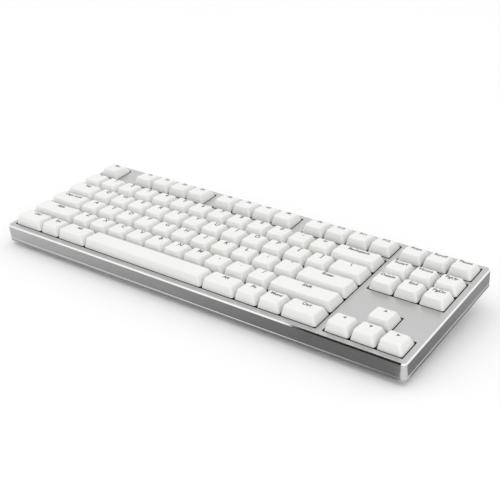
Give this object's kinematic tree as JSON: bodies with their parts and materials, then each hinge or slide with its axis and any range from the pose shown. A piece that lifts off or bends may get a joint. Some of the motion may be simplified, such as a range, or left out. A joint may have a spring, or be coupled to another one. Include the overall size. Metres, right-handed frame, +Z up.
{
  "type": "mechanical keyboard",
  "caption": "Tenkeyless mechanical keyboard: tilted aluminium case, sculpted keycaps on sprung switches, arrow cluster, fold-out tilt feet and a rear USB inlet.",
  "frame": {"origin": "on the desk under the middle of the keyboard", "axes": "+X to the right along the key rows, +Y away from the typist, +Z up"},
  "size_m": [0.3582, 0.1291, 0.0359],
  "materials": {
    "aluminium_case": "fine brushed satin, polished edge",
    "aluminium_base": "fine brushed satin",
    "keycap": "fine moulded texture",
    "steel_plate": "satin",
    "board": "solder mask",
    "chips": "moulded epoxy",
    "switch_base": "moulded",
    "switch_top": "moulded",
    "spring_steel": "drawn wire",
    "contact_metal": "stamped",
    "stabilizer_plastic": "moulded",
    "socket_shell": "bright stamped",
    "screw_steel": "zinc plated",
    "rubber": "matte",
    "foot_plastic": "moulded"
  },
  "bodies": {
    "case": {"top_case": "aluminium_case", "bottom_case": "aluminium_base", "switch_plate": "steel_plate", "circuit_board": "board", "board_components": "chips", "switch_lower_housings": "switch_base", "switch_upper_housings": "switch_top", "switch_springs": "spring_steel", "switch_contacts": "contact_metal", "stabilizer_housings": "stabilizer_plastic", "stabilizer_wires": "spring_steel", "usb_socket": "socket_shell", "case_screws": "screw_steel", "board_screws": "screw_steel", "rubber_feet": "rubber"},
    "key_a": {"key_a": "keycap"},
    "key_b": {"key_b": "keycap"},
    "key_c": {"key_c": "keycap"},
    "key_d": {"key_d": "keycap"},
    "key_e": {"key_e": "keycap"},
    "key_f": {"key_f": "keycap"},
    "key_g": {"key_g": "keycap"},
    "key_h": {"key_h": "keycap"},
    "key_i": {"key_i": "keycap"},
    "key_j": {"key_j": "keycap"},
    "key_k": {"key_k": "keycap"},
    "key_l": {"key_l": "keycap"},
    "key_m": {"key_m": "keycap"},
    "key_n": {"key_n": "keycap"},
    "key_o": {"key_o": "keycap"},
    "key_p": {"key_p": "keycap"},
    "key_q": {"key_q": "keycap"},
    "key_r": {"key_r": "keycap"},
    "key_s": {"key_s": "keycap"},
    "key_t": {"key_t": "keycap"},
    "key_u": {"key_u": "keycap"},
    "key_v": {"key_v": "keycap"},
    "key_w": {"key_w": "keycap"},
    "key_x": {"key_x": "keycap"},
    "key_y": {"key_y": "keycap"},
    "key_z": {"key_z": "keycap"},
    "key_space": {"key_space": "keycap"},
    "key_enter": {"key_enter": "keycap"},
    "key_backspace": {"key_backspace": "keycap"},
    "key_left_shift": {"key_left_shift": "keycap"},
    "key_right_shift": {"key_right_shift": "keycap"},
    "key_esc": {"key_esc": "keycap"},
    "key_arrow_up": {"key_arrow_up": "keycap"},
    "key_arrow_down": {"key_arrow_down": "keycap"},
    "key_arrow_left": {"key_arrow_left": "keycap"},
    "key_arrow_right": {"key_arrow_right": "keycap"},
    "function_keys": {"function_keys": "keycap"},
    "number_keys": {"number_keys": "keycap"},
    "punctuation_keys": {"punctuation_keys": "keycap"},
    "tab_caps_keys": {"tab_caps_keys": "keycap"},
    "left_modifier_keys": {"left_modifier_keys": "keycap"},
    "right_modifier_keys": {"right_modifier_keys": "keycap"},
    "navigation_keys": {"navigation_keys": "keycap"},
    "tilt_foot_left": {"tilt_foot_left": "foot_plastic"},
    "tilt_foot_right": {"tilt_foot_right": "foot_plastic"}
  },
  "joints": [
    {"name": "a_press", "type": "slide", "parent": "case", "child": "key_a", "axis": [0, 0.1045, -0.9945], "range_m": [0, 0.004], "stiffness_N_per_m": 75, "springref_m": -0.006, "deforming": ["switch_springs"]},
    {"name": "b_press", "type": "slide", "parent": "case", "child": "key_b", "axis": [0, 0.1045, -0.9945], "range_m": [0, 0.004], "stiffness_N_per_m": 75, "springref_m": -0.006, "deforming": ["switch_springs"]},
    {"name": "c_press", "type": "slide", "parent": "case", "child": "key_c", "axis": [0, 0.1045, -0.9945], "range_m": [0, 0.004], "stiffness_N_per_m": 75, "springref_m": -0.006, "deforming": ["switch_springs"]},
    {"name": "d_press", "type": "slide", "parent": "case", "child": "key_d", "axis": [0, 0.1045, -0.9945], "range_m": [0, 0.004], "stiffness_N_per_m": 75, "springref_m": -0.006, "deforming": ["switch_springs"]},
    {"name": "e_press", "type": "slide", "parent": "case", "child": "key_e", "axis": [0, 0.1045, -0.9945], "range_m": [0, 0.004], "stiffness_N_per_m": 75, "springref_m": -0.006, "deforming": ["switch_springs"]},
    {"name": "f_press", "type": "slide", "parent": "case", "child": "key_f", "axis": [0, 0.1045, -0.9945], "range_m": [0, 0.004], "stiffness_N_per_m": 75, "springref_m": -0.006, "deforming": ["switch_springs"]},
    {"name": "g_press", "type": "slide", "parent": "case", "child": "key_g", "axis": [0, 0.1045, -0.9945], "range_m": [0, 0.004], "stiffness_N_per_m": 75, "springref_m": -0.006, "deforming": ["switch_springs"]},
    {"name": "h_press", "type": "slide", "parent": "case", "child": "key_h", "axis": [0, 0.1045, -0.9945], "range_m": [0, 0.004], "stiffness_N_per_m": 75, "springref_m": -0.006, "deforming": ["switch_springs"]},
    {"name": "i_press", "type": "slide", "parent": "case", "child": "key_i", "axis": [0, 0.1045, -0.9945], "range_m": [0, 0.004], "stiffness_N_per_m": 75, "springref_m": -0.006, "deforming": ["switch_springs"]},
    {"name": "j_press", "type": "slide", "parent": "case", "child": "key_j", "axis": [0, 0.1045, -0.9945], "range_m": [0, 0.004], "stiffness_N_per_m": 75, "springref_m": -0.006, "deforming": ["switch_springs"]},
    {"name": "k_press", "type": "slide", "parent": "case", "child": "key_k", "axis": [0, 0.1045, -0.9945], "range_m": [0, 0.004], "stiffness_N_per_m": 75, "springref_m": -0.006, "deforming": ["switch_springs"]},
    {"name": "l_press", "type": "slide", "parent": "case", "child": "key_l", "axis": [0, 0.1045, -0.9945], "range_m": [0, 0.004], "stiffness_N_per_m": 75, "springref_m": -0.006, "deforming": ["switch_springs"]},
    {"name": "m_press", "type": "slide", "parent": "case", "child": "key_m", "axis": [0, 0.1045, -0.9945], "range_m": [0, 0.004], "stiffness_N_per_m": 75, "springref_m": -0.006, "deforming": ["switch_springs"]},
    {"name": "n_press", "type": "slide", "parent": "case", "child": "key_n", "axis": [0, 0.1045, -0.9945], "range_m": [0, 0.004], "stiffness_N_per_m": 75, "springref_m": -0.006, "deforming": ["switch_springs"]},
    {"name": "o_press", "type": "slide", "parent": "case", "child": "key_o", "axis": [0, 0.1045, -0.9945], "range_m": [0, 0.004], "stiffness_N_per_m": 75, "springref_m": -0.006, "deforming": ["switch_springs"]},
    {"name": "p_press", "type": "slide", "parent": "case", "child": "key_p", "axis": [0, 0.1045, -0.9945], "range_m": [0, 0.004], "stiffness_N_per_m": 75, "springref_m": -0.006, "deforming": ["switch_springs"]},
    {"name": "q_press", "type": "slide", "parent": "case", "child": "key_q", "axis": [0, 0.1045, -0.9945], "range_m": [0, 0.004], "stiffness_N_per_m": 75, "springref_m": -0.006, "deforming": ["switch_springs"]},
    {"name": "r_press", "type": "slide", "parent": "case", "child": "key_r", "axis": [0, 0.1045, -0.9945], "range_m": [0, 0.004], "stiffness_N_per_m": 75, "springref_m": -0.006, "deforming": ["switch_springs"]},
    {"name": "s_press", "type": "slide", "parent": "case", "child": "key_s", "axis": [0, 0.1045, -0.9945], "range_m": [0, 0.004], "stiffness_N_per_m": 75, "springref_m": -0.006, "deforming": ["switch_springs"]},
    {"name": "t_press", "type": "slide", "parent": "case", "child": "key_t", "axis": [0, 0.1045, -0.9945], "range_m": [0, 0.004], "stiffness_N_per_m": 75, "springref_m": -0.006, "deforming": ["switch_springs"]},
    {"name": "u_press", "type": "slide", "parent": "case", "child": "key_u", "axis": [0, 0.1045, -0.9945], "range_m": [0, 0.004], "stiffness_N_per_m": 75, "springref_m": -0.006, "deforming": ["switch_springs"]},
    {"name": "v_press", "type": "slide", "parent": "case", "child": "key_v", "axis": [0, 0.1045, -0.9945], "range_m": [0, 0.004], "stiffness_N_per_m": 75, "springref_m": -0.006, "deforming": ["switch_springs"]},
    {"name": "w_press", "type": "slide", "parent": "case", "child": "key_w", "axis": [0, 0.1045, -0.9945], "range_m": [0, 0.004], "stiffness_N_per_m": 75, "springref_m": -0.006, "deforming": ["switch_springs"]},
    {"name": "x_press", "type": "slide", "parent": "case", "child": "key_x", "axis": [0, 0.1045, -0.9945], "range_m": [0, 0.004], "stiffness_N_per_m": 75, "springref_m": -0.006, "deforming": ["switch_springs"]},
    {"name": "y_press", "type": "slide", "parent": "case", "child": "key_y", "axis": [0, 0.1045, -0.9945], "range_m": [0, 0.004], "stiffness_N_per_m": 75, "springref_m": -0.006, "deforming": ["switch_springs"]},
    {"name": "z_press", "type": "slide", "parent": "case", "child": "key_z", "axis": [0, 0.1045, -0.9945], "range_m": [0, 0.004], "stiffness_N_per_m": 75, "springref_m": -0.006, "deforming": ["switch_springs"]},
    {"name": "space_press", "type": "slide", "parent": "case", "child": "key_space", "axis": [0, 0.1045, -0.9945], "range_m": [0, 0.004], "stiffness_N_per_m": 75, "springref_m": -0.006, "deforming": ["switch_springs", "stabilizer_wires"]},
    {"name": "enter_press", "type": "slide", "parent": "case", "child": "key_enter", "axis": [0, 0.1045, -0.9945], "range_m": [0, 0.004], "stiffness_N_per_m": 75, "springref_m": -0.006, "deforming": ["switch_springs", "stabilizer_wires"]},
    {"name": "backspace_press", "type": "slide", "parent": "case", "child": "key_backspace", "axis": [0, 0.1045, -0.9945], "range_m": [0, 0.004], "stiffness_N_per_m": 75, "springref_m": -0.006, "deforming": ["switch_springs", "stabilizer_wires"]},
    {"name": "left_shift_press", "type": "slide", "parent": "case", "child": "key_left_shift", "axis": [0, 0.1045, -0.9945], "range_m": [0, 0.004], "stiffness_N_per_m": 75, "springref_m": -0.006, "deforming": ["switch_springs", "stabilizer_wires"]},
    {"name": "right_shift_press", "type": "slide", "parent": "case", "child": "key_right_shift", "axis": [0, 0.1045, -0.9945], "range_m": [0, 0.004], "stiffness_N_per_m": 75, "springref_m": -0.006, "deforming": ["switch_springs", "stabilizer_wires"]},
    {"name": "esc_press", "type": "slide", "parent": "case", "child": "key_esc", "axis": [0, 0.1045, -0.9945], "range_m": [0, 0.004], "stiffness_N_per_m": 75, "springref_m": -0.006, "deforming": ["switch_springs"]},
    {"name": "arrow_up_press", "type": "slide", "parent": "case", "child": "key_arrow_up", "axis": [0, 0.1045, -0.9945], "range_m": [0, 0.004], "stiffness_N_per_m": 75, "springref_m": -0.006, "deforming": ["switch_springs"]},
    {"name": "arrow_down_press", "type": "slide", "parent": "case", "child": "key_arrow_down", "axis": [0, 0.1045, -0.9945], "range_m": [0, 0.004], "stiffness_N_per_m": 75, "springref_m": -0.006, "deforming": ["switch_springs"]},
    {"name": "arrow_left_press", "type": "slide", "parent": "case", "child": "key_arrow_left", "axis": [0, 0.1045, -0.9945], "range_m": [0, 0.004], "stiffness_N_per_m": 75, "springref_m": -0.006, "deforming": ["switch_springs"]},
    {"name": "arrow_right_press", "type": "slide", "parent": "case", "child": "key_arrow_right", "axis": [0, 0.1045, -0.9945], "range_m": [0, 0.004], "stiffness_N_per_m": 75, "springref_m": -0.006, "deforming": ["switch_springs"]},
    {"name": "function_keys_press", "type": "slide", "parent": "case", "child": "function_keys", "axis": [0, 0.1045, -0.9945], "range_m": [0, 0.004], "stiffness_N_per_m": 900, "springref_m": -0.006, "deforming": ["switch_springs"]},
    {"name": "number_keys_press", "type": "slide", "parent": "case", "child": "number_keys", "axis": [0, 0.1045, -0.9945], "range_m": [0, 0.004], "stiffness_N_per_m": 975, "springref_m": -0.006, "deforming": ["switch_springs"]},
    {"name": "punctuation_keys_press", "type": "slide", "parent": "case", "child": "punctuation_keys", "axis": [0, 0.1045, -0.9945], "range_m": [0, 0.004], "stiffness_N_per_m": 600, "springref_m": -0.006, "deforming": ["switch_springs"]},
    {"name": "tab_caps_keys_press", "type": "slide", "parent": "case", "child": "tab_caps_keys", "axis": [0, 0.1045, -0.9945], "range_m": [0, 0.004], "stiffness_N_per_m": 150, "springref_m": -0.006, "deforming": ["switch_springs"]},
    {"name": "left_modifier_keys_press", "type": "slide", "parent": "case", "child": "left_modifier_keys", "axis": [0, 0.1045, -0.9945], "range_m": [0, 0.004], "stiffness_N_per_m": 225, "springref_m": -0.006, "deforming": ["switch_springs"]},
    {"name": "right_modifier_keys_press", "type": "slide", "parent": "case", "child": "right_modifier_keys", "axis": [0, 0.1045, -0.9945], "range_m": [0, 0.004], "stiffness_N_per_m": 300, "springref_m": -0.006, "deforming": ["switch_springs"]},
    {"name": "navigation_keys_press", "type": "slide", "parent": "case", "child": "navigation_keys", "axis": [0, 0.1045, -0.9945], "range_m": [0, 0.004], "stiffness_N_per_m": 675, "springref_m": -0.006, "deforming": ["switch_springs"]},
    {"name": "tilt_foot_left_fold", "type": "hinge", "parent": "case", "child": "tilt_foot_left", "pos_m": [-0.12107, 0.05024, 0.00942], "axis": [1, 0, 0], "range_deg": [-95, 0]},
    {"name": "tilt_foot_right_fold", "type": "hinge", "parent": "case", "child": "tilt_foot_right", "pos_m": [0.12107, 0.05024, 0.00942], "axis": [1, 0, 0], "range_deg": [-95, 0]}
  ]
}
